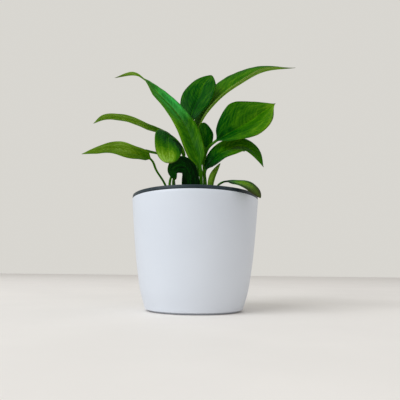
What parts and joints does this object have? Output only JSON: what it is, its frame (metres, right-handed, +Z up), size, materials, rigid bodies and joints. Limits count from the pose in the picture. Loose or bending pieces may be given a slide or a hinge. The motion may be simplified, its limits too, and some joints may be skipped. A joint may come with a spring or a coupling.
{
  "type": "potted peace lily",
  "caption": "Young peace lily with glossy, arching leaves on slim stalks, growing in soil in a dark liner that hangs in a round white planter.",
  "frame": {"origin": "centre of the planter's foot, on the surface that it stands on", "axes": "+Z up; the plant's front, the side that the picture shows, faces -Y, and its right is +X"},
  "size_m": [0.242, 0.165, 0.2948],
  "materials": {
    "white_plastic": "satin",
    "dark_plastic": "satin",
    "potting_soil": "matte",
    "leaf_dark": "satin",
    "leaf_green": "satin",
    "leaf_light": "satin"
  },
  "bodies": {
    "root": {"planter": "white_plastic", "liner": "dark_plastic", "soil": "potting_soil", "leaf_long_left": "leaf_green", "leaf_upright_back": "leaf_dark", "leaf_small_back": "leaf_dark", "leaf_long_right": "leaf_green", "leaf_broad_right": "leaf_green", "leaf_drooping_right": "leaf_green", "leaf_mid_left": "leaf_green", "leaf_hanging_front": "leaf_light", "leaf_low_left": "leaf_light", "leaf_behind_left": "leaf_dark", "leaf_folded_front": "leaf_dark", "leaf_young_right": "leaf_light", "leaf_small_rim": "leaf_green", "leaf_arching_back": "leaf_green", "leaf_low_back_left": "leaf_green", "leaf_low_back_right": "leaf_dark"}
  },
  "joints": []
}
